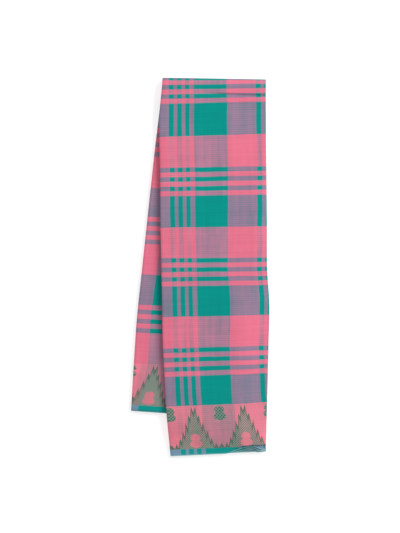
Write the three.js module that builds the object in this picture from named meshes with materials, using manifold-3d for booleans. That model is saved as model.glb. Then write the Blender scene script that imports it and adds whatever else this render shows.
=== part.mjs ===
// A cotton sari, folded into a narrow strip and once more over its middle, lying flat.
// Five halvings of its length make a strip of 32 layers. The strip is folded over at the
// sari's mid-width, so the front leaf lies on the back leaf, turned a few degrees from it.
// Both leaves end in the sari's two woven edges. Millimetres, +Z up, top fold towards +Y.
import * as THREE from "three";
import { mergeVertices } from "three/addons/utils/BufferGeometryUtils.js";
import Module from "manifold-3d";

// Thicknesses
const LEAF_THICK = 9.6; // 32 layers of cotton, 0.3 mm each as they lie
const WALL = 1.0; // the outer cloth as a solid wall
const GAP = 0.3; // clearance between neighbouring solids
const LEAF_GAP = 0.5; // air between the two leaves
const FOLD_INNER_R = 1.0; // radius of the innermost layer at the top fold
const AXIS_Z = LEAF_THICK + FOLD_INNER_R; // height of the top fold's axis
const FRONT_BASE = LEAF_THICK + LEAF_GAP; // height of the front leaf's underside

// Top fold: its axis runs from the left edge of the strip, dropping a little to the right
const AXIS_LEFT = { x: -60.6, y: 293.2 };
const AXIS_SLOPE = -0.0174;
const FOLD_STEPS = 8;

// Outline of each leaf: x of its left and right edge, by distance down from the fold axis.
// hemSteps are the distances from the hem at which the leaf has a section.
const FRONT = {
  length: 595.3,
  hemSlope: 0.047,
  hemSteps: [0, 6, 12, 18, 24, 32, 42, 54, 68],
  rows: [
    { down: 0, left: -60.6, right: 105.4 },
    { down: 24.6, left: -63.7, right: 105.0 },
    { down: 45.6, left: -65.8, right: 105.0 },
    { down: 79.6, left: -65.8, right: 105.3 },
    { down: 152.6, left: -64.3, right: 106.1 },
    { down: 219.6, left: -64.0, right: 106.6 },
    { down: 304.6, left: -62.2, right: 107.7 },
    { down: 352.6, left: -61.3, right: 111.2 },
    { down: 420.6, left: -60.0, right: 109.8 },
    { down: 464.6, left: -57.8, right: 108.3 },
    { down: 512.6, left: -55.2, right: 107.6 },
    { down: 595.3, left: -47.7, right: 105.3 },
  ],
};
const BACK = {
  length: 522.8,
  hemSlope: -0.072,
  hemSteps: [0, 8, 18, 32],
  rows: [
    { down: 0, left: -60.6, right: 105.4 },
    { down: 45.6, left: -66.2, right: 101.0 },
    { down: 92.6, left: -72.0, right: 96.0 },
    { down: 153.6, left: -78.6, right: 88.4 },
    { down: 220.6, left: -85.9, right: 80.3 },
    { down: 305.6, left: -94.9, right: 70.1 },
    { down: 377.6, left: -102.4, right: 60.6 },
    { down: 420.6, left: -105.4, right: 56.1 },
    { down: 465.6, left: -108.3, right: 51.7 },
    { down: 522.8, left: -111.4, right: 46.6 },
  ],
};
const STEP_DOWN = 32; // largest distance between two sections of a leaf

// The front leaf reaches past the back leaf, and sinks to the ground there
const DRAPE = { from: 3.5, reach: 58 };
const FOLD_LOOP_REACH = 60; // how far below the top fold the leaves take to close up

// The soft crease across the middle of the front leaf, deeper towards the right side
const CREASE = { down: 322, lean: 0.03, width: 12, depth: 0.8, fadeFrom: -60, fadeTo: 20 };

// The mouth at the lower right of the front leaf: the outer hem is turned under there,
// and the hems of the layers beneath show in arcs. Distances are in from the right edge.
const MOUTH = { from: 57, full: 36, end: 7, corner: 0.5 };
const TURNED_UNDER = 11.5; // depth of the woven edge that is turned under
const MOUTH_PUFF = 0.35; // share by which the layers stand apart there
const MOUTH_REACH = 60; // how far up the leaf that reaches

// Section across the strip, in leaf height z: 0 is the inner face, LEAF_THICK the outer one
const SPREAD = [0.15, 0.3, 0.45, 0.6, 0.7, 0.8, 0.9, 1]; // points across each face
const FLAT_SPREAD = [0.5, 1]; // the same where the cloth lies straight across
const OVERHANG_SHARE = 0.6; // on the front leaf, this point follows the back leaf's right edge
const OVERHANG_LIMIT = 0.93; // but it goes no further across than this
const SIDE_ARC = 4; // steps round a folded side
const RIGHT_R = LEAF_THICK / 4; // the right side is one fold of 16 layers over loose ones
const LIP = 15; // how far the outer cloth returns into the right side
const SIDE_MID = -8; // one more point between the lip's edge and the right side
const HALF = LEAF_THICK / 2;

// Hidden layers, by leaf height: bands of cloth that part at the hems and the right side
const BANDS = [
  { low: 1.35, high: 2.3, side: 1.8, front: 2.0, back: 3.5, arc: 0 },
  { low: 2.75, high: 4.4, side: 3.6, front: 4.5, back: 1.0, arc: 1.5 },
  { low: 4.8, high: 5.8, side: 0, front: 1.5, back: 5.0, arc: 4.5 },
  { low: 6.2, high: 8.2, side: RIGHT_R, front: 3.0, back: 2.0, arc: 8.0 },
];
const CORE = { low: WALL + GAP, high: LEAF_THICK - WALL - GAP, right: -LIP - 2 * GAP };
const CORE_SHORT = 18; // how far the core ends from the hem
const BAND_REACH = 32; // how far from the hem the bands begin

const wasm = await Module();
wasm.setup();

const mix = (a, b, t) => a + (b - a) * t;
const ramp = (from, to, v) => {
  const t = Math.min(1, Math.max(0, (v - from) / (to - from)));
  return t * t * (3 - 2 * t);
};

// A column of an outline table at a distance down, as a smooth curve through its rows.
function edgeAt(leaf, column, down) {
  const rows = leaf.rows;
  let i = 0;
  while (i < rows.length - 2 && down > rows[i + 1].down) i += 1;
  const slopeAt = (k) => {
    const a = rows[Math.max(0, k - 1)];
    const b = rows[Math.min(rows.length - 1, k + 1)];
    return (b[column] - a[column]) / (b.down - a.down);
  };
  const span = rows[i + 1].down - rows[i].down;
  const t = (down - rows[i].down) / span;
  const [a, b] = [rows[i][column], rows[i + 1][column]];
  const [da, db] = [slopeAt(i) * span, slopeAt(i + 1) * span];
  return (
    a * (2 * t ** 3 - 3 * t ** 2 + 1) +
    da * (t ** 3 - 2 * t ** 2 + t) +
    b * (3 * t ** 2 - 2 * t ** 3) +
    db * (t ** 3 - t ** 2)
  );
}

const slopeOf = (leaf, down) => mix(AXIS_SLOPE, leaf.hemSlope, down / leaf.length);

// A place across the strip: a share of the way from left to right, plus an offset.
// A limit moves the right end of that way. On the front leaf the shares are spaced so that
// the points past OVERHANG_SHARE are the ones outside the back leaf.
function acrossX(leaf, down, point) {
  const left = edgeAt(leaf, "left", down);
  const right = edgeAt(leaf, "right", down) + (point.limit ?? 0);
  if (leaf === BACK || down === 0) return mix(left, right, point.share) + point.offset;
  const backRight = edgeAt(BACK, "right", Math.min(down, BACK.length));
  const kink = Math.min(OVERHANG_LIMIT, (backRight - left) / (right - left));
  const share =
    point.share < OVERHANG_SHARE
      ? (point.share / OVERHANG_SHARE) * kink
      : mix(kink, 1, (point.share - OVERHANG_SHARE) / (1 - OVERHANG_SHARE));
  return mix(left, right, share) + point.offset;
}

const yOf = (leaf, down, x) =>
  AXIS_LEFT.y - down + slopeOf(leaf, down) * (x - edgeAt(leaf, "left", down));

// How far a place on the front leaf lies outside the back leaf under it.
function outsideBack(x, y) {
  let down = AXIS_LEFT.y - y;
  for (let i = 0; i < 3; i += 1) {
    const at = Math.min(BACK.length, Math.max(0, down));
    const width = edgeAt(BACK, "right", at) - edgeAt(BACK, "left", at);
    down = AXIS_LEFT.y - y + slopeOf(BACK, at) * width;
  }
  const at = Math.min(BACK.length, Math.max(0, down));
  const right = x - edgeAt(BACK, "right", at);
  const below = yOf(BACK, BACK.length, x) - y;
  return Math.hypot(Math.max(right, 0), Math.max(below, 0));
}

function creaseDepth(x, down) {
  const off = (down - CREASE.down - CREASE.lean * x) / CREASE.width;
  return CREASE.depth * Math.exp(-off * off) * ramp(CREASE.fadeFrom, CREASE.fadeTo, x);
}

// 1 in the mouth at the lower right of the front leaf, 0 outside it.
function mouth(x) {
  const inFromRight = edgeAt(FRONT, "right", FRONT.length) - x;
  return (
    (1 - ramp(MOUTH.full, MOUTH.from, inFromRight)) *
    ramp(MOUTH.corner, MOUTH.end, inFromRight)
  );
}

// The point of the folded strip at a station, a place across it and a leaf height.
function place(station, point) {
  const { z } = point;
  if (station.leaf === "fold") {
    const x = acrossX(FRONT, 0, point);
    const along = Math.hypot(1, AXIS_SLOPE);
    const reach = (z + FOLD_INNER_R) * Math.sin(station.angle);
    return new THREE.Vector3(
      x + (reach * -AXIS_SLOPE) / along,
      yOf(FRONT, 0, x) + reach / along,
      AXIS_Z + (z + FOLD_INNER_R) * Math.cos(station.angle),
    );
  }
  if (station.leaf === "back") {
    const x = acrossX(BACK, station.down, point);
    const shortened = station.down - (point.short ?? 0) * hemShare(BACK, station);
    return new THREE.Vector3(x, yOf(BACK, shortened, x), LEAF_THICK - z);
  }
  const x = acrossX(FRONT, station.down, point);
  const lost = (point.short ?? 0) + (point.arc ?? 0) * mouth(x);
  const down = station.down - lost * hemShare(FRONT, station);
  const y = yOf(FRONT, down, x);
  const loop = (AXIS_Z + FOLD_INNER_R - FRONT_BASE) * (1 - ramp(0, FOLD_LOOP_REACH, down));
  const sunk = ramp(DRAPE.from, DRAPE.from + DRAPE.reach, outsideBack(x, y));
  const base = FRONT_BASE * (1 - sunk) + loop;
  const puff = MOUTH_PUFF * mouth(x) * ramp(FRONT.length - MOUTH_REACH, FRONT.length, down);
  const lift = z * (1 + puff) - (creaseDepth(x, down) * z) / LEAF_THICK;
  return new THREE.Vector3(x, y, base + lift);
}

// 1 at the hem, 0 further up, so that a shorter hem moves only the sections near it.
function hemShare(leaf, station) {
  return Math.max(0, 1 - (leaf.length - station.down) / MOUTH_REACH);
}

// Stations down a leaf, from a distance below the fold to a distance from the hem.
function leafStations(name, leaf, from, hemGap) {
  const close = leaf.hemSteps.filter((d) => d >= hemGap).map((d) => leaf.length - d);
  const count = Math.ceil((Math.min(...close) - from) / STEP_DOWN);
  const even = Array.from({ length: count }, (_, i) =>
    mix(from, Math.min(...close), i / count),
  );
  const crease = leaf === FRONT ? [-1, 0, 1].map((k) => CREASE.down + k * CREASE.width) : [];
  const clear = even.filter((d) => crease.every((c) => Math.abs(d - c) > CREASE.width / 2));
  return [...clear, ...crease, ...close]
    .sort((a, b) => a - b)
    .map((down) => ({ leaf: name, down }));
}

const foldStations = Array.from({ length: FOLD_STEPS + 1 }, (_, i) => ({
  leaf: "fold",
  angle: (Math.PI * i) / FOLD_STEPS,
}));

// A closed solid between two lines of section points, carried through the stations.
function sweep(outer, inner, stations) {
  const ring = [...outer, ...[...inner].reverse()];
  const n = ring.length;
  const positions = stations.flatMap((s) => ring.flatMap((p) => place(s, p).toArray()));
  const index = [];
  const quad = (a, b, c, d) => index.push(a, b, c, a, c, d);
  for (let s = 0; s < stations.length - 1; s += 1) {
    for (let i = 0; i < n; i += 1) {
      const j = (i + 1) % n;
      quad(s * n + i, s * n + j, (s + 1) * n + j, (s + 1) * n + i);
    }
  }
  const end = (stations.length - 1) * n;
  for (let i = 0; i < outer.length - 1; i += 1) {
    const k = n - 1 - i;
    quad(i + 1, i, k, k - 1);
    quad(end + i, end + i + 1, end + k - 1, end + k);
  }
  const geometry = new THREE.BufferGeometry();
  geometry.setAttribute("position", new THREE.Float32BufferAttribute(positions, 3));
  geometry.setIndex(index);
  return faceOut(geometry);
}

// Turns every face round if the solid came out inside out.
function faceOut(geometry) {
  const p = geometry.attributes.position;
  const index = geometry.index.array;
  const [a, b, c] = [0, 1, 2].map(() => new THREE.Vector3());
  let volume = 0;
  for (let i = 0; i < index.length; i += 3) {
    a.fromBufferAttribute(p, index[i]);
    b.fromBufferAttribute(p, index[i + 1]);
    c.fromBufferAttribute(p, index[i + 2]);
    volume += a.dot(b.cross(c));
  }
  if (volume < 0) {
    for (let i = 0; i < index.length; i += 3) {
      [index[i + 1], index[i + 2]] = [index[i + 2], index[i + 1]];
    }
  }
  return geometry;
}

const at = (share, offset, z, more = {}) => ({ share, offset, z, ...more });

// Points round a folded side: centre offset from an edge, radius, and the two angles.
function sideArc(share, offset, z, radius, from, to, steps) {
  return Array.from({ length: steps + 1 }, (_, i) => {
    const angle = THREE.MathUtils.degToRad(mix(from, to, i / steps));
    return at(share, offset + radius * Math.cos(angle), z + radius * Math.sin(angle));
  });
}

// One side of the outer cloth's section, at a distance in from its outer face.
function wrapLine(inset, spread) {
  const top = LEAF_THICK - inset;
  const line = [
    at(1, -LIP, HALF + inset),
    at(1, SIDE_MID, HALF + inset),
    ...sideArc(1, -RIGHT_R, HALF + RIGHT_R, RIGHT_R - inset, -90, 90, SIDE_ARC),
    at(1, SIDE_MID, top),
    ...[...spread].reverse().map((share) => at(share, 0, top, { limit: CORE.right })),
    ...sideArc(0, HALF, HALF, HALF - inset, 90, 270, SIDE_ARC + 1),
    ...spread.map((share) => at(share, 0, inset, { limit: CORE.right })),
    at(1, SIDE_MID, inset),
    at(1, -GAP, inset),
  ];
  const outerFace = (p) => p.z > LEAF_THICK - WALL - GAP;
  return line.map((p) => (outerFace(p) ? { ...p, arc: TURNED_UNDER } : p));
}

// The outer cloth of one stretch.
const wrap = (stations, spread) => sweep(wrapLine(0, spread), wrapLine(WALL, spread), stations);

// A band of hidden layers between two leaf heights, through some shares of the way across
// and on to an offset in from the right edge, with further values for every point.
function band({ low, high }, shares, rightOffset, stations, more = {}) {
  const ends = rightOffset > CORE.right ? [SIDE_MID, rightOffset] : [];
  const line = (z) => [
    ...shares.map((share) => at(share, share > 0 ? 0 : HALF, z, { ...more, limit: CORE.right })),
    ...ends.map((offset) => at(1, offset, z, more)),
  ];
  return solidOf(sweep(line(high), line(low), stations));
}

const solidOf = (geometry) => {
  const merged = mergeVertices(geometry, 1e-4);
  return new wasm.Manifold(
    new wasm.Mesh({
      numProp: 3,
      vertProperties: merged.attributes.position.array,
      triVerts: new Uint32Array(merged.index.array),
    }),
  );
};

function geometryOf(solid) {
  const mesh = solid.getMesh();
  const geometry = new THREE.BufferGeometry();
  const positions = new Float32Array(mesh.vertProperties);
  geometry.setAttribute("position", new THREE.BufferAttribute(positions, 3));
  geometry.setIndex(new THREE.BufferAttribute(new Uint32Array(mesh.triVerts), 1));
  return geometry;
}

// The core of the hidden layers: round at the left side, square at the right.
function coreSolid(stations) {
  const across = [...SPREAD].reverse();
  const half = (z, from, to) => [
    ...across.map((share) => at(share, 0, z, { limit: CORE.right })),
    ...sideArc(0, HALF, HALF, HALF - WALL - GAP, from, to, 3),
  ];
  return solidOf(sweep(half(CORE.high, 90, 170), half(CORE.low, 270, 190), stations));
}

// All layers between the outer cloth's two faces, as one solid from hem to hem.
function hiddenLayers() {
  const whole = [
    ...leafStations("front", FRONT, 0, CORE_SHORT).reverse(),
    ...foldStations.slice(1, -1),
    ...leafStations("back", BACK, 0, CORE_SHORT),
  ];
  const leaves = [
    ["front", FRONT],
    ["back", BACK],
  ];
  const parts = [coreSolid(whole)];
  for (const b of BANDS) {
    const right = b.side > 0 ? -b.side : CORE.right;
    if (b.side > 0) parts.push(band(b, SPREAD.slice(-2), right, whole));
    for (const [name, leaf] of leaves) {
      const steps = leaf.hemSteps.filter((d) => d <= BAND_REACH);
      const hem = steps.map((d) => ({ leaf: name, down: leaf.length - d }));
      parts.push(band(b, [0, ...SPREAD], right, hem, { short: b[name], arc: b.arc }));
    }
  }
  return geometryOf(wasm.Manifold.union(parts));
}

const cloth = (colour) =>
  new THREE.MeshStandardMaterial({ color: colour, roughness: 0.85, metalness: 0 });
const CHECKED = cloth(0xc77c8c);
const EDGES = cloth(0x6f9a93);

const sari = new THREE.Group();

function piece(name, geometry, material) {
  const mesh = new THREE.Mesh(geometry, material);
  mesh.name = name;
  mesh.geometry.computeVertexNormals();
  sari.add(mesh);
}

piece("front_leaf_cloth", wrap(leafStations("front", FRONT, GAP, 0), SPREAD), CHECKED);
piece("top_fold_cloth", wrap(foldStations, FLAT_SPREAD), CHECKED);
piece("back_leaf_cloth", wrap(leafStations("back", BACK, GAP, 0), FLAT_SPREAD), CHECKED);
piece("hidden_layers", hiddenLayers(), EDGES);

// The origin is under the middle of the whole, on the ground.
const box = new THREE.Box3().setFromObject(sari);
const middle = box.getCenter(new THREE.Vector3());
sari.position.set(-middle.x, -middle.y, -box.min.z);

export default sari;
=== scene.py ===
"""A cotton sari folded flat: its cloth, checks, woven border and layered edges, in Blender.

Tables and sizes below are in millimetres, measured from the frame's origin, which is on the
ground under the middle of the folded sari. The top fold is towards +Y. make_sheet() turns
them into metres. Only the studio, with its floor and lamp, is given in metres. The cloth's
own coordinates are u, along the sari's length, and v, across its width from the hem of the
front leaf to the hem of the back leaf.
"""
import math

import bpy
import numpy as np
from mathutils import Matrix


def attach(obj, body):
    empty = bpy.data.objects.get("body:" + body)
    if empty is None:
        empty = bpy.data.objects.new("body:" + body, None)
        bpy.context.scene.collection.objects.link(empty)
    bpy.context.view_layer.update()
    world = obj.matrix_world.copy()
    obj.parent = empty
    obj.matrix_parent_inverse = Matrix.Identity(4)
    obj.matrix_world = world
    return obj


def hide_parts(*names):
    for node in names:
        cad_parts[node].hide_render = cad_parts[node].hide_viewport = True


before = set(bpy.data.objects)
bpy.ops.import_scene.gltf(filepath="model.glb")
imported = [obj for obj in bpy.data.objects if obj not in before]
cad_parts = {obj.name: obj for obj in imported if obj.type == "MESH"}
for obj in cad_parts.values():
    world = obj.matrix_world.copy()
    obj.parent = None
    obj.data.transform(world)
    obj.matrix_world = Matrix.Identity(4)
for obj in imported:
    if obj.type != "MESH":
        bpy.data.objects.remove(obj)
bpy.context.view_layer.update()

MM = 0.001

# The cloth and how it is folded
LAYERS = 32
PITCH = 0.3  # distance from one layer to the next
CLOTH = 0.24  # thickness of one layer
LEAF_THICK = LAYERS * PITCH
HALF = LEAF_THICK / 2
WIDTH = 166.0  # nominal width of the folded strip
STRETCH_MARGIN = 20.0  # how far in from its sides the strip keeps its nominal width
SARI_WIDTH = 1170.0
LEAF_GAP = 0.5  # air between the two leaves
FRONT_BASE = LEAF_THICK + LEAF_GAP

# The top fold and its axis
FOLD_INNER_R = 1.0
FOLD_BULGE = 1.1  # how many times as far out as a round fold it reaches
FOLD_LOOP_REACH = 60.0  # how far down the front leaf the fold holds it up
AXIS_Z = LEAF_THICK + FOLD_INNER_R
AXIS_Y = 293.2
AXIS_SLOPE = -0.0174

# Outline of each leaf: x of its left and right edge by distance down from the fold axis
FRONT = {
    "length": 596.5,
    "hem_slope": 0.047,
    "down": (0, 24.6, 45.6, 79.6, 152.6, 219.6, 304.6, 352.6, 420.6, 464.6, 512.6, 596.5),
    "left": (-60.6, -63.1, -65.1, -65.4, -64.0, -63.7, -61.9, -61.0, -59.7, -57.5, -54.9, -47.4),
    "right": (105.5, 105.4, 105.5, 105.7, 106.6, 107.3, 108.1, 111.3, 110.2, 109.2, 107.9, 105.7),
}
BACK = {
    "length": 523.4,
    "hem_slope": -0.072,
    "down": (0, 45.6, 92.6, 153.6, 220.6, 305.6, 377.6, 420.6, 465.6, 523.4),
    "left": (-60.2, -65.7, -71.5, -78.1, -85.3, -94.3, -101.8, -104.8, -107.6, -110.9),
    "right": (105.4, 101.0, 96.0, 88.4, 80.3, 70.1, 60.6, 56.1, 51.7, 46.6),
}

# Rows of the cloth: v by distance down each leaf, and how the rows lean near the top fold
FRONT_ROWS = {
    "down": (0, 29, 82, 133, 179, 229, 279, 324, 372, 423, 468, 516, 596.5),
    "v": (593, 563.5, 515.4, 463.6, 417.6, 369.6, 318.0, 272.8, 225.8, 174.8, 129.3, 81.0, 0),
}
BACK_ROWS = {
    "down": (0, 165.5, 255.4, 304.1, 352.8, 446.6, 523.4),
    "v": (636, 801, 894.7, 945, 993.3, 1089, SARI_WIDTH),
}
ROW_LEAN = {
    "down": (0, 80, 130, 180, 230, 280, 370),
    "lean": (0.033, 0.037, 0.020, 0.017, 0.006, -0.007, 0.0),
}

# Columns of the cloth: u at the left edge, and how far the columns wander down each leaf,
# with what the right half of the front leaf's upper face adds to that
LEFT_U = -54.9
FRONT_WANDER = {
    "down": (0, 19, 35, 50, 185, 330, 595),
    "u": (6.1, 3.8, 2.0, 1.2, 0.6, -0.4, -0.6),
}
BACK_WANDER = {
    "down": (0, 305, 365, 445, 503, 522),
    "u": (0, -1.2, -3.2, -2.6, -12.0, -14.6),
}
RIGHT_WANDER = {
    "down": (0, 50, 80, 190, 250, 295, 322, 345, 385, 425, 470, 512, 520, 596),
    "u": (0.6, -0.6, -0.9, 0, 0.8, 3.2, 1.5, 0.2, 0.6, 2.8, 3.5, 3.5, 0.3, -1.2),
}
RIGHT_HALF = {"start": 60.0, "reach": 45.0}  # across the strip, where that comes in

# Where the front leaf reaches past the back leaf, it sinks to the ground
DRAPE = {"start": 3.5, "reach": 58.0}
BACK_SEARCHES = 3  # steps that find a place's distance down the slanting back leaf

# The round sides of the big folds are pressed square: wholly at the top fold, less along the leaves
BOXED_POWER = 7.0
BOXED_REACH = 26.0
BOXED_ALONG = 0.85
LEAST_RADIUS = 0.1

# Soft creases across the front leaf, each with the two x between which it comes in
CREASES = (
    {"down": 322, "lean": 0.03, "width": 12.0, "depth": 0.8, "fade": (-60, 20)},
    {"down": 13.7, "lean": 0.02, "width": 1.8, "depth": 2.4, "fade": (0, 40)},
    {"down": 444, "lean": -0.05, "width": 18.0, "depth": 0.35, "fade": (80, -40)},
    {"down": 165, "lean": 0.04, "width": 22.0, "depth": 0.3, "fade": (-70, 60)},
)

# Gentle unevenness of the whole pile, which fades towards the fold and the front hem
RIPPLES = (
    {"length": 96.0, "turn": 20, "phase": 0.4, "height": 0.22},
    {"length": 61.0, "turn": 75, "phase": 2.1, "height": 0.16},
    {"length": 43.0, "turn": -35, "phase": 4.0, "height": 0.10},
    {"length": 27.0, "turn": 8, "phase": 1.3, "height": 0.06},
)
RIPPLE_FADE = {"fold": 40.0, "hem": 12.0}
RIPPLE_DIP = 0.35  # share of its unevenness by which the front leaf is lowered
BACK_DIP = 0.5  # and the back leaf
BACK_RIPPLE = {"x": 31.0, "y": -57.0}  # so that the two leaves' ripples differ

# The mouth at the lower right of the front leaf, by distance in from its right edge:
# the top layer's woven edge is turned under there, along a line that climbs from the hem
MOUTH = {"outer": 57.0, "full": 36.0, "end": 7.0, "corner": 0.5}
MOUTH_PUFF = 0.7
MOUTH_REACH = 60.0
TURN = {"outer": 68.0, "full": 34.0, "end": 3.5, "corner": 1.0, "height": 13.0, "radius": 0.6}
# Layers under it, from the top: how far their hems draw back and stand up, between which places
DRAWN_BACK = (
    {"layer": 30, "depth": 9.2, "lift": 1.9, "outer": 55, "full": 31, "end": 19, "corner": 4},
    {"layer": 29, "depth": 7.0, "lift": 1.3, "outer": 48, "full": 28, "end": 21, "corner": 8},
    {"layer": 28, "depth": 4.8, "lift": 0.8, "outer": 43, "full": 29, "end": 22, "corner": 11},
    {"layer": 27, "depth": 2.6, "lift": 0.3, "outer": 39, "full": 28, "end": 23, "corner": 14},
)
STANDING = {"outer": 60, "end": 12, "corner": 2}  # they stand up over more than they draw back
STANDING_DEPTH = 12.0  # how far in from the hem they stand up in full
MOUTH_SINK = 0.42  # what the layers under the turned edge don't share of the puff
CURL = {"height": 2.8, "reach": 1.1}  # how their woven edges curl up

# How the hems of the inner layers lie behind the outer hem: a share of its own for each layer,
# made from a sine's far digits, and waves along the hem
RAGGED = {"least": 0.9, "spread": 3.0, "turn": 12.9898, "digits": 43758.5453, "back": 3.1}
HEM_WAVES = (
    {"height": 0.5, "scale": 23.0, "shift": 6.0},
    {"height": 0.3, "scale": 9.0, "shift": 17.0},
)

# The folds on the right side, by the number of layers that each one holds: how far its
# outer layer lies in from the edge, and how much that wanders down the strip
RIGHT_FOLDS = {
    16: {"inset": 0.0, "wander": 0.0, "phase": 0.0},
    8: {"inset": 1.0, "wander": 0.5, "phase": 1.0},
    4: {"inset": 2.4, "wander": 0.9, "phase": 2.6},
    2: {"inset": 3.6, "wander": 1.2, "phase": 4.1},
    1: {"inset": 1.6, "wander": 1.1, "phase": 0.2},
}
RIGHT_WAVE = {"long": 47.0, "short": 19.0, "short_share": 0.6}
RIGHT_CENTRE = {"height": 7.2, "radius": 2.4}  # middle and size of the topmost right-hand fold
CUT_END_INSET = 0.3  # how far in from the right side the sari's cut end lies, at the bottom
SLACK = 0.0035  # share of the cloth's length that the inner folds take up
INNER_START = 5.0  # how much cloth the first turn on the right side takes up

# How much of the inner layers is modelled
HEM_DEPTH = 30.0  # in from the hems
SIDE_DEPTH = 14.0  # in from the right side

# The meshes: distances between places across, and steps round a turn
FINE_FROM = 92.0  # the upper face is finer right of this, for its turned-under edge
SPACING = {"lower": 9.0, "upper": 3.4, "fine": 1.3, "tucked": 4.0, "inner": 2.6}
RUN_END = {"lower": 1.0, "tucked": 3.0, "inner": 4.0}  # in from the right side
TURN_STEPS = {"left": 12, "right": 9, "inner": 5, "side": 6}
# Rows of places on the front leaf, each with its start, end and spacing
TURNED_ROWS = (0, 16, 0.5)  # up from the hem
HEM_ROWS = (16, 40, 2.2)
CREASED_ROWS = (20.5, 6, -0.7)  # down from the fold
TOP_ROWS = (4.5, 2, 0)
MIDDLE_ROWS = {"from_hem": 40.5, "from_fold": 21, "count": 136}
BACK_ROW_COUNT = 96
SIDE_ROW_COUNTS = {"front": 110, "back": 90}
FOLD_STEPS = {"outer": 16, "side": 12}
HEM_LAYER_ROWS = (0, 0.35, 0.7, 1.1, 1.6, 2.3, 3.5, 6, 10, 16, HEM_DEPTH)  # in from the hem


def ramp(start, end, value):
    """0 before start, 1 after end, smooth between."""
    t = np.clip((value - start) / (end - start), 0.0, 1.0)
    return t * t * (3 - 2 * t)


def curve(xs, ys, x):
    """A smooth curve through the points (xs, ys), at x."""
    xs, ys = np.asarray(xs, float), np.asarray(ys, float)
    slopes = np.gradient(ys, xs)
    i = np.clip(np.searchsorted(xs, x) - 1, 0, len(xs) - 2)
    span = xs[i + 1] - xs[i]
    t = (x - xs[i]) / span
    return (
        ys[i] * (2 * t**3 - 3 * t**2 + 1)
        + slopes[i] * span * (t**3 - 2 * t**2 + t)
        + ys[i + 1] * (3 * t**2 - 2 * t**3)
        + slopes[i + 1] * span * (t**3 - t**2)
    )


def grid(*values):
    """Values that differ down and across, as one array with the values in its last axis."""
    return np.stack(np.broadcast_arrays(*values), axis=-1)


def edge(leaf, side, down):
    return curve(leaf["down"], leaf[side], np.clip(down, 0, leaf["length"]))


def slope(leaf, down):
    """How the rows of a leaf slant at a distance down."""
    return AXIS_SLOPE + (leaf["hem_slope"] - AXIS_SLOPE) * down / leaf["length"]


def stretch(across):
    """How much of the strip's extra width lies left of a place across it."""
    return np.clip((across - STRETCH_MARGIN) / (WIDTH - 2 * STRETCH_MARGIN), 0, 1)


def x_at(leaf, down, across):
    left = edge(leaf, "left", down)
    extra = edge(leaf, "right", down) - left - WIDTH
    return left + across + stretch(across) * extra


def y_at(leaf, down, x):
    return AXIS_Y - down + slope(leaf, down) * (x - edge(leaf, "left", down))


def outside_back(x, y):
    """How far a place on the front leaf lies outside the back leaf."""
    down = AXIS_Y - y
    for _ in range(BACK_SEARCHES):
        at = np.clip(down, 0, BACK["length"])
        width = edge(BACK, "right", at) - edge(BACK, "left", at)
        down = AXIS_Y - y + slope(BACK, at) * width
    at = np.clip(down, 0, BACK["length"])
    right = x - edge(BACK, "right", at)
    below = y_at(BACK, BACK["length"], x) - y
    return np.hypot(np.maximum(right, 0), np.maximum(below, 0))


def ripple(x, y):
    total = 0.0
    for wave in RIPPLES:
        turn = math.radians(wave["turn"])
        along = x * math.cos(turn) + y * math.sin(turn)
        total = total + wave["height"] * np.sin(2 * math.pi * along / wave["length"] + wave["phase"])
    return total


def crease_depth(x, down):
    total = 0.0
    for crease in CREASES:
        off = (down - crease["down"] - crease["lean"] * x) / crease["width"]
        total = total + crease["depth"] * np.exp(-off * off) * ramp(*crease["fade"], x)
    return total


def band(place, from_right):
    """1 between the full and end values of a place near the right edge, 0 outside it."""
    opening = 1 - ramp(place["full"], place["outer"], from_right)
    return opening * ramp(place["corner"], place["end"], from_right)


def front_points(down, across, z, sink=0.0):
    """Places on the front leaf; sink lowers the layers under the turned-under edge."""
    x = x_at(FRONT, down, across)
    y = y_at(FRONT, down, x)
    loop = (AXIS_Z + FOLD_INNER_R - FRONT_BASE) * (1 - ramp(0, FOLD_LOOP_REACH, down))
    sunk = ramp(DRAPE["start"], DRAPE["start"] + DRAPE["reach"], outside_back(x, y))
    base = FRONT_BASE * (1 - sunk) + loop
    from_right = edge(FRONT, "right", down) - x
    near_hem = ramp(FRONT["length"] - MOUTH_REACH, FRONT["length"], down)
    open_share = band(MOUTH, from_right) * near_hem
    lift = z * (1 + MOUTH_PUFF * open_share) * (1 - sink * open_share)
    height = z / LEAF_THICK
    uneven = ripple(x, y) * ramp(0, RIPPLE_FADE["fold"], down)
    uneven = uneven * ramp(0, RIPPLE_FADE["hem"], FRONT["length"] - down)
    lift = lift + height * (uneven - RIPPLE_DIP * np.abs(uneven) - crease_depth(x, down))
    return grid(x, y, base + lift)


def back_points(down, across, z):
    """Places on the back leaf, which lies the other way up: z runs from its top downwards."""
    x = x_at(BACK, down, across)
    y = y_at(BACK, down, x)
    uneven = ripple(x + BACK_RIPPLE["x"], y + BACK_RIPPLE["y"])
    uneven = uneven * ramp(0, RIPPLE_FADE["fold"], down)
    top = 1 - z / LEAF_THICK
    return grid(x, y, LEAF_THICK - z - top * BACK_DIP * np.abs(uneven))


def fold_points(angle, across, z):
    """Places round the top fold, at an angle from the front leaf to the back leaf."""
    x = x_at(FRONT, np.zeros_like(angle), across)
    reach = (z + FOLD_INNER_R) * np.sin(angle) * FOLD_BULGE
    y = y_at(FRONT, np.zeros_like(angle), x) + reach
    height = AXIS_Z + (z + FOLD_INNER_R) * np.cos(angle)
    return grid(x - reach * AXIS_SLOPE, y, height)


def layer_order():
    """The panels of the strip from the bottom layer up, after halving it again and again."""
    stacks = [[panel] for panel in range(LAYERS)]
    while len(stacks) > 1:
        half = len(stacks) // 2
        right = stacks[:half - 1:-1]
        stacks = [low + high[::-1] for low, high in zip(stacks[:half], right)]
    return stacks[0]


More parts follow.
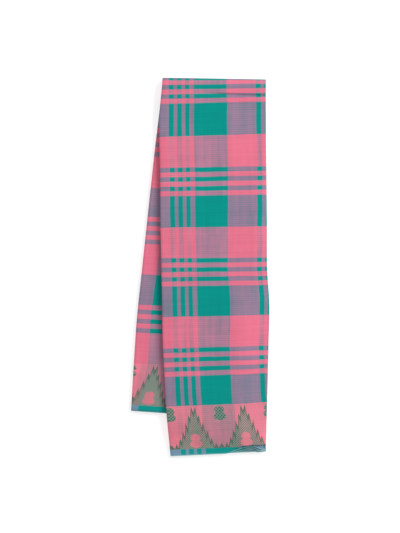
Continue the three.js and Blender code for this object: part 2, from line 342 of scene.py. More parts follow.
def layer_heights():
    """The height of each panel in its leaf, in the order that the cloth runs."""
    heights = [0.0] * LAYERS
    for layer, panel in enumerate(layer_order()):
        heights[panel] = (layer + 0.5) * PITCH
    return heights


HEIGHTS = layer_heights()


def layer_at(z):
    """The number of the layer at a height, from 0 at the bottom."""
    return np.round(z / PITCH - 0.5)


def fold_size(low, high):
    """How many layers the right-hand fold holds that joins two panels."""
    middle = (low + high) / 2
    sizes = [size for size in RIGHT_FOLDS if abs(middle - 1.5 * size * PITCH) < PITCH / 4]
    return sizes[0]


def turn_angles(low, high, steps):
    """Angles round half a turn, from one panel's height to the other's."""
    return np.linspace(-math.pi / 2, math.pi / 2, steps + 1) * np.sign(high - low)


def right_turn(low, high, steps):
    """Places round a fold on the right side, from one panel's height to the other's."""
    size = fold_size(low, high)
    outer = size / 2 * PITCH
    radius = abs(high - low) / 2
    angles = turn_angles(low, high, steps)
    across = WIDTH - outer - RIGHT_FOLDS[size]["inset"] + radius * np.cos(angles)
    heights = (low + high) / 2 + radius * np.sin(angles)
    return [(a, z, size) for a, z in zip(across, heights)]


def left_turn(low, high, steps):
    """Places round the big fold on the left side."""
    radius = abs(high - low) / 2
    angles = turn_angles(low, high, steps)
    across = HALF - radius * np.cos(angles)
    heights = HALF + radius * np.sin(angles)
    return [(a, z, 0) for a, z in zip(across, heights)]


def panel_run(z, start, end, spacing):
    """Places along a panel between two places across, without the two ends themselves."""
    count = max(2, round(abs(end - start) / spacing))
    return [(a, z, 0) for a in np.linspace(start, end, count + 1)[1:-1]]


def box_side(out, height):
    """How far out a rounded side lies once pressed square, by its place from its middle."""
    radius = np.maximum(np.hypot(out, height), LEAST_RADIUS)
    share = np.clip(np.abs(height) / radius, 0, 1)
    return np.where(out > 0, radius * (1 - share**BOXED_POWER) ** (1 / BOXED_POWER), out)


class Section:
    """A run of the cloth as it is folded, as seen from the hem. Each place has its distance
    across the strip, its height and the size of the right-hand fold that it lies in, or 0."""

    def __init__(self, places, first_u, slack=0.0):
        self.across = np.array([p[0] for p in places])
        self.z = np.array([p[1] for p in places])
        self.fold = np.array([p[2] for p in places])
        steps = np.hypot(np.diff(self.across), np.diff(self.z))
        self.u = first_u + (1 + slack) * np.concatenate([[0.0], np.cumsum(steps)])
        self.length = float(steps.sum())

    def boxed(self):
        """Places across with the big folds' round sides pressed square."""
        left = HALF - box_side(HALF - self.across, self.z - HALF)
        middle = WIDTH - RIGHT_CENTRE["radius"]
        right = middle + box_side(self.across - middle, self.z - RIGHT_CENTRE["height"])
        return np.where(self.fold == max(RIGHT_FOLDS), right, left)

    def shifted_across(self, down):
        """Places across at a distance down, with the right-hand folds' own wander."""
        pressed = (1 - (1 - BOXED_ALONG) * ramp(0, BOXED_REACH, down))[:, None]
        across = self.across + pressed * (self.boxed() - self.across)
        for size, fold in RIGHT_FOLDS.items():
            wave = np.sin(down / RIGHT_WAVE["long"] + fold["phase"])
            short_wave = np.sin(down / RIGHT_WAVE["short"] + 2 * fold["phase"])
            wave = wave + RIGHT_WAVE["short_share"] * short_wave
            move = -fold["wander"] * (0.5 + 0.5 * wave[:, None])
            across += np.where(self.fold == size, move, 0.0)
        return across


def outer_section():
    """The outer layer: in from the right side below, round the left fold, over the top and
    round the right side into the pile."""
    low, top, under = HEIGHTS[0], HEIGHTS[1], HEIGHTS[2]
    turn_start = WIDTH - (abs(top - under) + PITCH) / 2
    places = [(WIDTH - CUT_END_INSET, low, 1)]
    places += panel_run(low, WIDTH - RUN_END["lower"], HALF, SPACING["lower"])
    places += left_turn(low, top, TURN_STEPS["left"])
    before_top = len(places) - 1
    places += panel_run(top, HALF, FINE_FROM, SPACING["upper"])
    places += [(FINE_FROM, top, 0)]
    places += panel_run(top, FINE_FROM, turn_start, SPACING["fine"])
    places += right_turn(top, under, TURN_STEPS["right"])
    places += panel_run(under, WIDTH - RUN_END["tucked"], WIDTH - SIDE_DEPTH, SPACING["tucked"])
    section = Section(places, 0.0)
    section.u += LEFT_U + HALF - section.u[before_top]
    return section


def inner_section():
    """All the other layers, as one run of the cloth from the outer layer's end."""
    places = []
    for panel in range(2, LAYERS):
        z = HEIGHTS[panel]
        leftward = panel % 2 == 0
        ends = (WIDTH - RUN_END["inner"], HALF)
        start, end = ends if leftward else ends[::-1]
        places += panel_run(z, start, end, SPACING["inner"])
        if panel == LAYERS - 1:
            places += [(WIDTH - RIGHT_FOLDS[1]["inset"], z, 1)]
        elif leftward:
            places += left_turn(z, HEIGHTS[panel + 1], TURN_STEPS["inner"])
        else:
            places += right_turn(z, HEIGHTS[panel + 1], TURN_STEPS["inner"])
    return Section(places, LEFT_U + WIDTH + INNER_START, SLACK)


def cloth_v(leaf, down, x):
    """v at a distance down a leaf, with the lean of the front leaf's rows."""
    rows = FRONT_ROWS if leaf is FRONT else BACK_ROWS
    v = np.interp(down, rows["down"], rows["v"])
    if leaf is FRONT:
        lean = np.interp(down, ROW_LEAN["down"], ROW_LEAN["lean"])
        v = v - lean * (x - edge(FRONT, "left", down))
    return v


def cloth_u(leaf, section, down, direction):
    """u across a leaf: the true distance from its left edge, and the columns' wander."""
    wander = FRONT_WANDER if leaf is FRONT else BACK_WANDER
    extra = edge(leaf, "right", down) - edge(leaf, "left", down) - WIDTH
    u = section.u + direction * stretch(section.across) * extra
    u = u + np.interp(down, wander["down"], wander["u"])
    if leaf is FRONT:
        share = np.clip((section.across - RIGHT_HALF["start"]) / RIGHT_HALF["reach"], 0, 1)
        share = share * (direction > 0)
        u = u + share * np.interp(down, RIGHT_WANDER["down"], RIGHT_WANDER["u"])
    return u


def turned_under(down, from_right):
    """Where the top layer goes at its hem: distance down, and how far it drops below."""
    hem = FRONT["length"] - down
    line = TURN["height"] * band(TURN, from_right)
    past = np.maximum(line - hem, 0)
    radius = TURN["radius"]
    angle = np.minimum(past / radius, math.pi)
    beyond = np.maximum(past - math.pi * radius, 0)
    new_hem = np.where(past > 0, line - radius * np.sin(angle) + beyond, hem)
    return FRONT["length"] - new_hem, radius * (1 - np.cos(angle))


def front_stations():
    """Distances down of the front leaf's rows of places: closest at the hem and the crease."""
    length = FRONT["length"]
    hem = np.concatenate([np.arange(*TURNED_ROWS), np.arange(*HEM_ROWS)])
    middle = np.linspace(
        MIDDLE_ROWS["from_hem"], length - MIDDLE_ROWS["from_fold"], MIDDLE_ROWS["count"]
    )
    top = length - np.concatenate([np.arange(*CREASED_ROWS), TOP_ROWS])
    return length - np.concatenate([hem, middle, top])


def fold_angles(steps):
    """Angles round the top fold, without its two ends."""
    return np.linspace(0, math.pi, steps + 1)[1:-1, None]


def make_sheet(name, points, uv):
    """A sheet of cloth from a grid of points, in millimetres, with the cloth's own u and v."""
    rows, columns = points.shape[:2]
    index = np.arange(rows * columns).reshape(rows, columns)
    corners = [index[:-1, :-1], index[:-1, 1:], index[1:, 1:], index[1:, :-1]]
    quads = np.stack(corners, axis=-1).reshape(-1, 4)
    mesh = bpy.data.meshes.new(name)
    mesh.from_pydata((points.reshape(-1, 3) * MM).tolist(), [], quads.tolist())
    layer = mesh.uv_layers.new(name="cloth")
    layer.data.foreach_set("uv", (uv.reshape(-1, 2)[quads.reshape(-1)] * MM).ravel())
    mesh.polygons.foreach_set("use_smooth", [True] * len(mesh.polygons))
    piece = bpy.data.objects.new(name, mesh)
    bpy.context.scene.collection.objects.link(piece)
    solid = piece.modifiers.new("thickness", "SOLIDIFY")
    solid.thickness = CLOTH * MM
    solid.offset = 0
    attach(piece, "root")
    return piece


def finish(piece):
    """The piece's material slot and its cloth."""
    piece.data.materials.append(checked_cotton())


def front_face(section, direction):
    """The outer layer on the front leaf: its places, and u and v there."""
    down = front_stations()[:, None]
    across = section.shifted_across(down[:, 0])
    x = x_at(FRONT, down, across)
    turned_down, drop = turned_under(down, edge(FRONT, "right", down) - x)
    upper = direction > 0
    points = front_points(np.where(upper, turned_down, down), across, section.z)
    points[..., 2] -= np.where(upper, drop, 0)
    return points, grid(cloth_u(FRONT, section, down, direction), cloth_v(FRONT, down, x))


def fold_face(section, direction):
    """The outer layer round the top fold, whose slack all lies on its lower half."""
    angle = fold_angles(FOLD_STEPS["outer"])
    down = np.zeros_like(angle)
    points = fold_points(angle, section.shifted_across(down[:, 0]), section.z)
    first, last = FRONT_ROWS["v"][0], BACK_ROWS["v"][0]
    outermost = first + (LEAF_THICK + FOLD_INNER_R) * math.pi / 2
    v = np.interp(angle, (0, math.pi / 2, math.pi), (first, outermost, last))
    lean = ROW_LEAN["lean"][0] * stretch(section.across) * WIDTH
    v = v - lean * (1 - angle / math.pi)
    return points, grid(cloth_u(FRONT, section, down, direction), v)


def back_face(section, direction):
    """The outer layer on the back leaf."""
    down = np.linspace(0, BACK["length"], BACK_ROW_COUNT)[:, None]
    across = section.shifted_across(down[:, 0])
    points = back_points(down, across, section.z)
    v = cloth_v(BACK, down, x_at(BACK, down, across))
    return points, grid(cloth_u(BACK, section, down, direction), v)


def outer_cloth():
    """The outer layer of both leaves and of the top fold, as one sheet from hem to hem."""
    section = outer_section()
    direction = np.where(section.z > HALF, 1, -1)
    faces = [make(section, direction) for make in (front_face, fold_face, back_face)]
    points, uv = (np.concatenate(arrays) for arrays in zip(*faces))
    piece = make_sheet("outer_cloth", points, uv)
    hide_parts("front_leaf_cloth", "top_fold_cloth", "back_leaf_cloth")
    finish(piece)


def hem_shortness(section, x, from_right, leaf):
    """How far short of the outer hem each layer's own hem lies."""
    layer = layer_at(section.z)
    seed = np.sin(layer * RAGGED["turn"] + (0 if leaf is FRONT else RAGGED["back"]))
    seed = seed * RAGGED["digits"]
    ragged = seed - np.floor(seed)
    short = RAGGED["least"] + RAGGED["spread"] * ragged
    for wave in HEM_WAVES:
        short = short + wave["height"] * np.sin(x / wave["scale"] + wave["shift"] * ragged)
    if leaf is FRONT:
        for drawn in DRAWN_BACK:
            arc = band(drawn, from_right)
            drawn_short = short * (1 - arc) + drawn["depth"] * arc
            short = np.where(layer == drawn["layer"], drawn_short, short)
    return short


def mouth_lift(section, reach, from_right):
    """How far the layers under the turned-under edge stand up at their hems."""
    layer = layer_at(section.z)
    curl = CURL["height"] * np.exp(-((reach / CURL["reach"]) ** 2))
    total = 0.0
    for drawn in DRAWN_BACK:
        arc = band({**drawn, **STANDING}, from_right)
        lift = (drawn["lift"] + curl) * arc * (1 - ramp(STANDING_DEPTH, HEM_DEPTH, reach))
        total = total + np.where(layer == drawn["layer"], lift, 0.0)
    return total


def hem_layers(leaf, name):
    """The inner layers near one hem, folded as the whole strip is."""
    section = inner_section()
    reach = np.array(HEM_LAYER_ROWS)[:, None]
    down = leaf["length"] - reach
    across = section.shifted_across(down[:, 0])
    x = x_at(leaf, down, across)
    from_right = edge(leaf, "right", down) - x
    short = hem_shortness(section, x, from_right, leaf) * (1 - reach / HEM_DEPTH)
    if leaf is FRONT:
        points = front_points(down - short, across, section.z, sink=MOUTH_SINK)
        points[..., 2] += mouth_lift(section, reach, from_right)
        v = reach
    else:
        points = back_points(down - short, across, section.z)
        v = SARI_WIDTH - reach
    piece = make_sheet(name, points, grid(section.u, v))
    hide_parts("hidden_layers")
    finish(piece)


def side_sections():
    """The outermost layer of each fold on the right side that the outer cloth doesn't hold,
    and the sari's other cut end, above the outer cloth's."""
    inside = WIDTH - SIDE_DEPTH
    sections = []
    for panel in range(3, LAYERS - 1, 2):
        low, high = HEIGHTS[panel], HEIGHTS[panel + 1]
        size = fold_size(low, high)
        outermost = abs(high - low) > (size - 1.5) * PITCH
        if outermost and size < max(RIGHT_FOLDS):
            turn = right_turn(low, high, TURN_STEPS["side"])
            places = [(inside, low, 0)] + turn + [(inside, high, 0)]
            sections.append((f"side_fold_{size}", Section(places, LEFT_U + WIDTH * panel)))
    z = HEIGHTS[LAYERS - 1]
    places = [(inside, z, 0), (WIDTH - SIDE_DEPTH / 2, z, 0)]
    places += [(WIDTH - RIGHT_FOLDS[1]["inset"], z, 1)]
    sections.append(("side_loose_end", Section(places, LEFT_U)))
    return sections


def side_layer(name, section):
    """One fold on the open right side, from one hem's layers to the other's."""
    down = np.linspace(FRONT["length"] - HEM_DEPTH, 0, SIDE_ROW_COUNTS["front"])[:, None]
    front = front_points(down, section.shifted_across(down[:, 0]), section.z, sink=MOUTH_SINK)
    front_v = np.interp(down, FRONT_ROWS["down"], FRONT_ROWS["v"])
    angle = fold_angles(FOLD_STEPS["side"])
    fold = fold_points(angle, section.shifted_across(np.zeros(len(angle))), section.z)
    fold_v = np.interp(angle, (0, math.pi), (FRONT_ROWS["v"][0], BACK_ROWS["v"][0]))
    down = np.linspace(0, BACK["length"] - HEM_DEPTH, SIDE_ROW_COUNTS["back"])[:, None]
    back = back_points(down, section.shifted_across(down[:, 0]), section.z)
    back_v = np.interp(down, BACK_ROWS["down"], BACK_ROWS["v"])
    uv = grid(section.u, np.concatenate([front_v, fold_v, back_v]))
    piece = make_sheet(name, np.concatenate([front, fold, back]), uv)
    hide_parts("hidden_layers")
    finish(piece)


# The check, in millimetres of cloth: stretches of green, the rest is pink
COLUMN_PERIOD = 139.7
GREEN_COLUMNS = ((1.6, 54.4), (101.2, 109.2), (114.5, 122.1), (127.4, 134.3))
ROW_PERIOD = 144.0
GREEN_ROWS = ((0.0, 48.3), (55.9, 63.4), (71.0, 78.6), (86.1, 93.7))
THIN = 20.0  # a green column narrower than this is a thin one
THIN_OVER_PINK = 0.55  # how much of the thin columns the pink rows show
THIN_IN_BORDER = 0.3  # and the border
SOFT_EDGE = 0.5  # width over which one colour gives way to the next

# The woven border, from the edge inwards: the selvage, lightened there as a painted highlight, hem
# strip and temples
BORDER = 81.0
HEM = 10.4
# Painted highlight: a band this wide along every woven edge is lightened, by this share, standing in
# for the light on the curled-up hem edges
HIGHLIGHT_EDGE = 1.3
HIGHLIGHT_EDGE_SHARE = 0.8

# The temples: how high one reaches, by distance from its middle
TEMPLE_PERIOD = 80.0
TEMPLE_MIDDLE = -12.4
TEMPLE_TALL = 70.0  # at least the largest height below
BACK_BORDER_SHIFT = -6.5  # the other border's temples, against the columns
TEMPLE = {
    "off": (0, 3.5, 5.8, 8.5, 11.2, 14.2, 17, 19.8, 22.6, 25.3, 28.6, 31.5, 35, 39.5),
    "height": (60, 69.5, 50, 55.5, 34, 43.5, 21, 29.5, 11.5, 17.5, 2, 9, 0.5, 7),
}
RIM = {"depth": 9.0, "soft": 4.0, "share": 0.62}  # a temple is darker below its outline

# The small figure between and inside the temples: half its width by share of its height
FIGURE = {
    "share": (0.0, 0.06, 0.16, 0.36, 0.46, 0.55, 0.7, 0.86, 0.95, 1.0),
    "half": (1.5, 6.4, 9.8, 10.2, 7.4, 6.8, 8.8, 7.6, 4.8, 1.4),
}
FIGURE_WIDE = 11.0  # at least the largest half width above
FIGURE_TALL = 23.0
FIGURE_TEETH = {"height": 1.5, "depth": 0.7}
TOP_FIGURE = {"base": 56.0, "shift": 2.0, "share": 0.9}
INNER_FIGURE_BASE = 12.0

# Checkers of dots: their size, and how much they show on the border's ground, on a temple
# and on the figure inside it
DOT = 1.9
BOLD_DOT = 2.6
DOT_SOFT = 0.4
DOT_SHARES = {"ground": 0.2, "temple": 0.85, "figure": 0.38}

# Noise over the cloth: how fine it is along u and along v, where it is cut and its detail
NOISES = {
    "bend": {"fine_u": 0.03, "fine_v": 0.03},
    "weft": {"fine_u": 0.011, "fine_v": 0.37, "cut": 0.4, "detail": 3.0},
    "warp": {"fine_u": 0.13, "fine_v": 0.007, "cut": 0.4},
    "cloud": {"fine_u": 0.03, "fine_v": 0.03},
    "patch": {"fine_u": 0.03, "fine_v": 0.012, "detail": 1.0},
    "slub": {"fine_u": 0.08, "fine_v": 1.6},
    "soft": {"fine_u": 0.12, "fine_v": 0.12, "detail": 3.0},
}
BEND = 1.8  # how far a row or column strays from straight
BEND_CUTS = {"u": 2.7, "v": 8.1}
RIB = 3.2  # from one thicker weft yarn to the next
YARN = 0.42  # from one yarn to the next
LIGHT_SHARES = {"weft": 0.20, "warp": 0.18, "cloud": 0.12, "rib": 0.03}
LEAN_SHARES = {"weft": 0.25, "warp": 0.6, "cloud": 0.6, "rib": 0.25}
GREEN_LEAN = 0.15  # how much less green the cloth is where it leans to pink
HEIGHT_SHARES = {"weave": 0.15, "slub": 1.0, "soft": 1.4}

LIGHT_LEVEL = 1.2  # how brightly the cloth is lit, against a white that just fills the picture


def linear(red, green, blue, level=LIGHT_LEVEL):
    """A colour as seen in the light, in 0 to 255, as the values that the shader takes."""
    def one(c):
        c = c / 255
        return (c / 12.92 if c <= 0.04045 else ((c + 0.055) / 1.055) ** 2.4) / level
    return (one(red), one(green), one(blue), 1.0)


# Where two words are joined, the first is the row's colour and the second the column's
COLOURS = {
    "pink_pink": linear(230, 117, 142),
    "pink_green": linear(175, 126, 149),
    "green_pink": linear(143, 126, 149),
    "green_green": linear(4, 147, 138),
    "ground_pink": linear(237, 129, 150),
    "ground_green": linear(196, 130, 147),
    "temple_pink": linear(122, 110, 106),
    "temple_green": linear(76, 128, 115),
    "temple_rim": linear(66, 96, 84),
    "light_dot": linear(176, 160, 152),
    "figure": linear(110, 154, 137),
    "figure_dot": linear(46, 102, 86),
    "figure_pink": linear(232, 121, 141),
    "hem_pink": linear(118, 150, 172),
    "hem_green": linear(16, 152, 146),
    # painted highlight: the light colour laid along the woven edges, for the light on their
    # curled-up lips
    "edge_highlight": linear(150, 196, 200),
}


class Graph:
    """Builds a material's nodes, each call adding one node and giving its output."""

    def __init__(self, material):
        material.use_nodes = True
        self.tree = material.node_tree
        self.tree.nodes.clear()

    def node(self, kind, **settings):
        made = self.tree.nodes.new(kind)
        made.location = (40 * len(self.tree.nodes), -30 * (len(self.tree.nodes) % 20))
        for key, value in settings.items():
            setattr(made, key, value)
        return made

    def feed(self, socket, value):
        if isinstance(value, bpy.types.NodeSocket):
            self.tree.links.new(value, socket)
        else:
            socket.default_value = value

    def math(self, operation, *values):
        made = self.node("ShaderNodeMath", operation=operation)
        for socket, value in zip(made.inputs, values):
            self.feed(socket, value)
        return made.outputs[0]

    def steps(self, value, stops):
        """A value read off a line of grey stops, each a place from 0 to 1 and a grey."""
        made = self.node("ShaderNodeValToRGB")
        elements = made.color_ramp.elements
        while len(elements) > 1:
            elements.remove(elements[-1])
        elements[0].position = stops[0][0]
        elements[0].color = (stops[0][1],) * 3 + (1,)
        for place, grey in stops[1:]:
            elements.new(place).color = (grey, grey, grey, 1)
        self.feed(made.inputs[0], value)
        return made.outputs[0]

    def mix(self, factor, a, b, blend="MIX"):
        """Two colours mixed. Inputs 6 and 7 and output 2 are the node's colour sockets."""
        made = self.node("ShaderNodeMix", data_type="RGBA", blend_type=blend)
        self.feed(made.inputs[0], factor)
        self.feed(made.inputs[6], a)
        self.feed(made.inputs[7], b)
        return made.outputs[2]

    def partly(self, share, mask, a, b):
        """a, and b over it where the mask is 1, but only by a share."""
        return self.mix(self.math("MULTIPLY", mask, share), a, b)

    def noise(self, vector, scale, detail=2.0):
        made = self.node("ShaderNodeTexNoise")
        self.feed(made.inputs["Vector"], vector)
        self.feed(made.inputs["Scale"], scale)
        self.feed(made.inputs["Detail"], detail)
        return made.outputs["Fac"]

    def cloth_noise(self, u, v, fine_u, fine_v, cut=0.0, detail=2.0):
        """Noise over the cloth, from 0 to 1, with grains of their own length each way."""
        place = self.vector(self.math("MULTIPLY", u, fine_u), self.math("MULTIPLY", v, fine_v), cut)
        return self.noise(place, 1.0, detail)

    def vector(self, x, y, z):
        made = self.node("ShaderNodeCombineXYZ")
        for socket, value in zip(made.inputs, (x, y, z)):
            self.feed(socket, value)
        return made.outputs[0]

    def repeat(self, value, period, start=0.0):
        """Where a value is in its repeat, from 0 to 1."""
        return self.math("FRACT", self.math("DIVIDE", self.math("SUBTRACT", value, start), period))

    def below(self, value, limit, soft=SOFT_EDGE):
        """1 where the value is below the limit, 0 above it, with a soft edge."""
        gap = self.math("DIVIDE", self.math("SUBTRACT", limit, value), soft)
        made = self.math("ADD", gap, 0.5)
        made.node.use_clamp = True
        return made

    def weighted(self, values, shares):
        """The sum of some values by name, each times its own share."""
        total = 0.0
        for name, share in shares.items():
            total = self.math("ADD", total, self.math("MULTIPLY", values[name], share))
        return total


def stripe_stops(stripes, period, thin=1.0):
    """Stops for a repeat with stripes of 1 on 0, each edge a soft step; thin weakens narrow ones."""
    soft = SOFT_EDGE / 2 / period
    stops = [(0.0, 1.0 if stripes[0][0] == 0 else 0.0)]
    for start, end in stripes:
        strength = 1.0 if end - start > THIN else thin
        if start > 0:
            stops += [(start / period - soft, 0.0), (start / period + soft, strength)]
        stops += [(end / period - soft, strength), (end / period + soft, 0.0)]
    return stops


def column_mask(g, u, thin=1.0):
    stops = stripe_stops(GREEN_COLUMNS, COLUMN_PERIOD, thin)
    return g.steps(g.repeat(u, COLUMN_PERIOD), stops)


def row_mask(g, v):
    return g.steps(g.repeat(v, ROW_PERIOD, BORDER), stripe_stops(GREEN_ROWS, ROW_PERIOD))


def check_colour(g, u, rows, columns):
    """The checked field."""
    pink = g.mix(column_mask(g, u, THIN_OVER_PINK), COLOURS["pink_pink"], COLOURS["pink_green"])
    green = g.mix(columns, COLOURS["green_pink"], COLOURS["green_green"])
    return g.mix(rows, pink, green)


def dots(g, u, v, size):
    """A fine checker of dots, 0 or 1."""
    across = g.math("SINE", g.math("MULTIPLY", u, math.pi / size))
    along = g.math("SINE", g.math("MULTIPLY", v, math.pi / size))
    return g.below(0.0, g.math("MULTIPLY", across, along), DOT_SOFT)


def off_middle(g, u, middle, period):
    """How far a place lies from the nearest middle of a repeat."""
    place = g.repeat(u, period, middle - period / 2)
    return g.math("MULTIPLY", g.math("ABSOLUTE", g.math("SUBTRACT", place, 0.5)), period)


def temple_colour(g, u, off, rise, columns):
    """The border's ground and the temples on it, with their dots and rims."""
    stops = [
        (2 * x / TEMPLE_PERIOD, h / TEMPLE_TALL) for x, h in zip(TEMPLE["off"], TEMPLE["height"])
    ]
    outline = g.steps(g.math("MULTIPLY", off, 2 / TEMPLE_PERIOD), stops)
    height = g.math("MULTIPLY", outline, TEMPLE_TALL)
    depth = g.math("SUBTRACT", height, g.math("SUBTRACT", rise, HEM))
    rim = g.below(depth, RIM["depth"], RIM["soft"])
    weak = column_mask(g, u, THIN_IN_BORDER)
    dot = dots(g, u, rise, DOT)

    ground = g.mix(weak, COLOURS["ground_pink"], COLOURS["ground_green"])
    ground = g.partly(DOT_SHARES["ground"], dot, ground, COLOURS["temple_green"])
    body = g.mix(columns, COLOURS["temple_pink"], COLOURS["temple_green"])
    body = g.partly(DOT_SHARES["temple"], dot, body, COLOURS["light_dot"])
    body = g.partly(RIM["share"], rim, body, COLOURS["temple_rim"])
    return g.mix(g.below(0.0, depth), ground, body)


def figure_mask(g, off, rise):
    """1 inside the small figure, from the distance off its middle and above its foot."""
    share = g.math("DIVIDE", rise, FIGURE_TALL)
    stops = [(s, h / FIGURE_WIDE) for s, h in zip(FIGURE["share"], FIGURE["half"])]
    half = g.math("MULTIPLY", g.steps(share, stops), FIGURE_WIDE)
    tooth = g.math("PINGPONG", rise, FIGURE_TEETH["height"])
    half = g.math("SUBTRACT", half, g.math("MULTIPLY", tooth, FIGURE_TEETH["depth"]))
    inside = g.below(off, half)
    above = g.below(0.0, rise)
    under = g.below(rise, FIGURE_TALL)
    return g.math("MULTIPLY", inside, g.math("MULTIPLY", above, under))


def with_figures(g, colour, u, off, between, rise):
    """The border with its figures: green ones between the temples, pink ones inside them."""
    dot = dots(g, u, rise, BOLD_DOT)
    top = figure_mask(g, between, g.math("SUBTRACT", rise, TOP_FIGURE["base"]))
    inner = figure_mask(g, off, g.math("SUBTRACT", rise, INNER_FIGURE_BASE))
    green = g.mix(dot, COLOURS["figure"], COLOURS["figure_dot"])
    pink = g.partly(DOT_SHARES["figure"], dot, COLOURS["figure_pink"], COLOURS["figure"])
    colour = g.partly(TOP_FIGURE["share"], top, colour, green)
    return g.mix(inner, colour, pink)


def border_colour(g, u, v, rise, columns):
    """The woven border; rise is the distance in from the cloth's woven edge."""
    other = g.math("GREATER_THAN", v, SARI_WIDTH / 2)
    shifted = g.math("SUBTRACT", u, g.math("MULTIPLY", other, BACK_BORDER_SHIFT))
    off = off_middle(g, shifted, TEMPLE_MIDDLE, TEMPLE_PERIOD)
    shift = TOP_FIGURE["shift"]
    mirrored = g.math("ADD", shifted, g.math("MULTIPLY", other, 2 * shift))
    between = off_middle(g, mirrored, TEMPLE_MIDDLE + TEMPLE_PERIOD / 2 + shift, TEMPLE_PERIOD)
    temples = temple_colour(g, u, off, rise, columns)
    colour = with_figures(g, temples, u, off, between, rise)
    hem = g.mix(columns, COLOURS["hem_pink"], COLOURS["hem_green"])
    # Painted highlight: the hem is lightened along its woven edge
    hem = g.partly(HIGHLIGHT_EDGE_SHARE, g.below(rise, HIGHLIGHT_EDGE), hem, COLOURS["edge_highlight"])
    return g.mix(g.below(rise, HEM), colour, hem)


def about_middle(g, name, u, v, **settings):
    """One of the noises, with its middle at 0."""
    return g.math("SUBTRACT", g.cloth_noise(u, v, **NOISES[name], **settings), 0.5)


def uneven_weave(g, u, v):
    """u and v moved a little, because a hand-woven row or column isn't quite straight."""
    moved = []
    for place, cut in ((u, BEND_CUTS["u"]), (v, BEND_CUTS["v"])):
        bend = about_middle(g, "bend", u, v, cut=cut)
        moved.append(g.math("ADD", place, g.math("MULTIPLY", bend, BEND)))
    return moved


def yarn_shade(g, u, v, colour, mixed):
    """Streaks of uneven yarn and dye along both ways of the weave. Where the two colours
    cross, which mixed tells, the cloth leans now to one of them, now to the other."""
    streaks = {name: about_middle(g, name, u, v) for name in ("weft", "warp", "cloud")}
    rib = g.math("SINE", g.math("MULTIPLY", v, 2 * math.pi / RIB))
    streaks["rib"] = g.math("MULTIPLY", rib, g.cloth_noise(u, v, **NOISES["patch"]))
    light = g.math("ADD", g.weighted(streaks, LIGHT_SHARES), 1.0)
    lean = g.math("MULTIPLY", g.weighted(streaks, LEAN_SHARES), mixed)
    red = g.math("MULTIPLY", light, g.math("ADD", lean, 1.0))
    less_green = g.math("MULTIPLY", lean, GREEN_LEAN)
    green = g.math("MULTIPLY", light, g.math("SUBTRACT", 1.0, less_green))
    return g.mix(1.0, colour, g.vector(red, green, light), "MULTIPLY")


def weave_height(g, u, v):
    """The plain weave and its thicker yarns, as a height for the bump."""
    weft = g.math("SINE", g.math("MULTIPLY", v, math.pi / YARN))
    warp = g.math("SINE", g.math("MULTIPLY", u, math.pi / YARN))
    heights = {name: g.cloth_noise(u, v, **NOISES[name]) for name in ("slub", "soft")}
    heights["weave"] = g.math("MULTIPLY", weft, warp)
    return g.weighted(heights, HEIGHT_SHARES)


def cloth_colour(g, u, v):
    """The colour of the cloth: its check or its border, shaded by its yarns."""
    columns, rows = column_mask(g, u), row_mask(g, v)
    rise = g.math("MINIMUM", v, g.math("SUBTRACT", SARI_WIDTH, v))
    field = check_colour(g, u, rows, columns)
    border = border_colour(g, u, v, rise, columns)
    mixed = g.math("ABSOLUTE", g.math("SUBTRACT", rows, columns))
    return yarn_shade(g, u, v, g.mix(g.below(rise, BORDER), field, border), mixed)


def checked_cotton():
    """Handloom cotton in pink and green checks with a temple border."""
    known = bpy.data.materials.get("handloom_check")
    if known:
        return known
    material = bpy.data.materials.new("handloom_check")
    g = Graph(material)
    cloth = g.node("ShaderNodeUVMap", uv_map="cloth")
    parts = g.node("ShaderNodeSeparateXYZ")
    g.feed(parts.inputs[0], cloth.outputs[0])
    u = g.math("MULTIPLY", parts.outputs[0], 1 / MM)
    v = g.math("MULTIPLY", parts.outputs[1], 1 / MM)
    u, v = uneven_weave(g, u, v)

    bump = g.node("ShaderNodeBump")
    bump.inputs["Strength"].default_value = 0.35
    bump.inputs["Distance"].default_value = 0.25 * MM
    g.feed(bump.inputs["Height"], weave_height(g, u, v))
    shader = g.node("ShaderNodeBsdfPrincipled")
    g.feed(shader.inputs["Base Color"], cloth_colour(g, u, v))
    g.feed(shader.inputs["Normal"], bump.outputs[0])
    shader.inputs["Roughness"].default_value = 0.92
    shader.inputs["Specular IOR Level"].default_value = 0.05
    shader.inputs["Sheen Weight"].default_value = 0.02
    shader.inputs["Sheen Roughness"].default_value = 0.6
    out = g.node("ShaderNodeOutputMaterial")
    g.feed(out.inputs[0], shader.outputs[0])
    return material


# The studio, in metres
FLOOR_HALF = 12.0
FLOOR_GREYS = (193, 198)
FLOOR_GRAIN = 3.0
FLOOR_GLOW = 0.6  # keeps the floor as pale as the photo's ground
ROOM_STRENGTH = 0.70
LAMP = {"place": (1.75, 1.3, 2.0), "size": 1.6, "energy": 67}


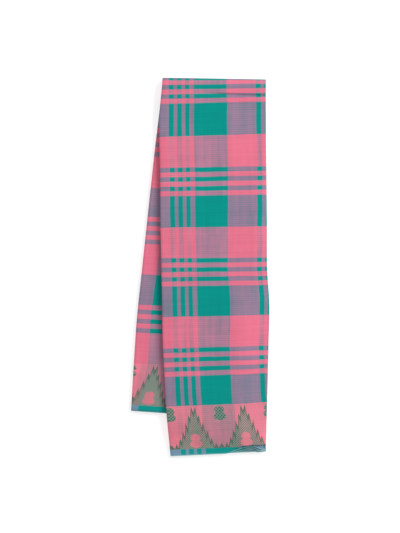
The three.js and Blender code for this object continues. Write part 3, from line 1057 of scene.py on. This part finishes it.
def pale_floor():
    """The floor's material: a pale grey with a faint grain, glowing a little."""
    material = bpy.data.materials.new("pale_floor")
    g = Graph(material)
    place = g.node("ShaderNodeTexCoord")
    grain = g.noise(place.outputs["Object"], FLOOR_GRAIN)
    dark, light = (linear(grey, grey, grey, 1.0) for grey in FLOOR_GREYS)
    shader = g.node("ShaderNodeBsdfPrincipled")
    g.feed(shader.inputs["Base Color"], g.mix(grain, dark, light))
    shader.inputs["Emission Color"].default_value = (1, 1, 1, 1)
    shader.inputs["Emission Strength"].default_value = FLOOR_GLOW
    shader.inputs["Roughness"].default_value = 0.9
    shader.inputs["Specular IOR Level"].default_value = 0.1
    out = g.node("ShaderNodeOutputMaterial")
    g.feed(out.inputs[0], shader.outputs[0])
    return material


def floor():
    """A plain pale floor."""
    mesh = bpy.data.meshes.new("floor")
    size = FLOOR_HALF
    corners = [(-size, -size, 0), (size, -size, 0), (size, size, 0), (-size, size, 0)]
    mesh.from_pydata(corners, [], [(0, 1, 2, 3)])
    mesh.materials.append(pale_floor())
    plane = bpy.data.objects.new("floor", mesh)
    bpy.context.scene.collection.objects.link(plane)


def lights():
    """A bright room and one large soft light from above, to the right."""
    world = bpy.data.worlds.new("studio")
    bpy.context.scene.world = world
    world.use_nodes = True
    background = world.node_tree.nodes["Background"]
    background.inputs["Color"].default_value = (1, 1, 1, 1)
    background.inputs["Strength"].default_value = ROOM_STRENGTH
    lamp = bpy.data.lights.new("soft_light", "AREA")
    lamp.shape = "DISK"
    lamp.size = LAMP["size"]
    lamp.energy = LAMP["energy"]
    light = bpy.data.objects.new("soft_light", lamp)
    light.location = LAMP["place"]
    light.rotation_euler = (-light.location).to_track_quat("-Z", "Y").to_euler()
    bpy.context.scene.collection.objects.link(light)


# The photo's frame is 400 by 533 pixels, 1.6 mm each at the front leaf's upper face
PIXEL = 1.6
FRAME_TALL = 533
FRAME_CENTRE_Y = 1.6
FACE_HEIGHT = 19.7
LENS = 120.0
SENSOR = 36.0


def camera():
    """A long lens looking straight down, as in the photo."""
    lens = bpy.data.cameras.new("camera")
    lens.lens = LENS
    lens.sensor_width = SENSOR
    distance = FRAME_TALL * PIXEL * LENS / SENSOR
    view = bpy.data.objects.new("camera", lens)
    view.location = (0, FRAME_CENTRE_Y * MM, (distance + FACE_HEIGHT) * MM)
    bpy.context.scene.collection.objects.link(view)
    bpy.context.scene.camera = view


def build():
    camera()
    lights()
    floor()
    outer_cloth()
    hem_layers(FRONT, "front_hem_layers")
    hem_layers(BACK, "back_hem_layers")
    for name, section in side_sections():
        side_layer(name, section)
    bpy.context.scene.view_settings.view_transform = "Standard"


build()
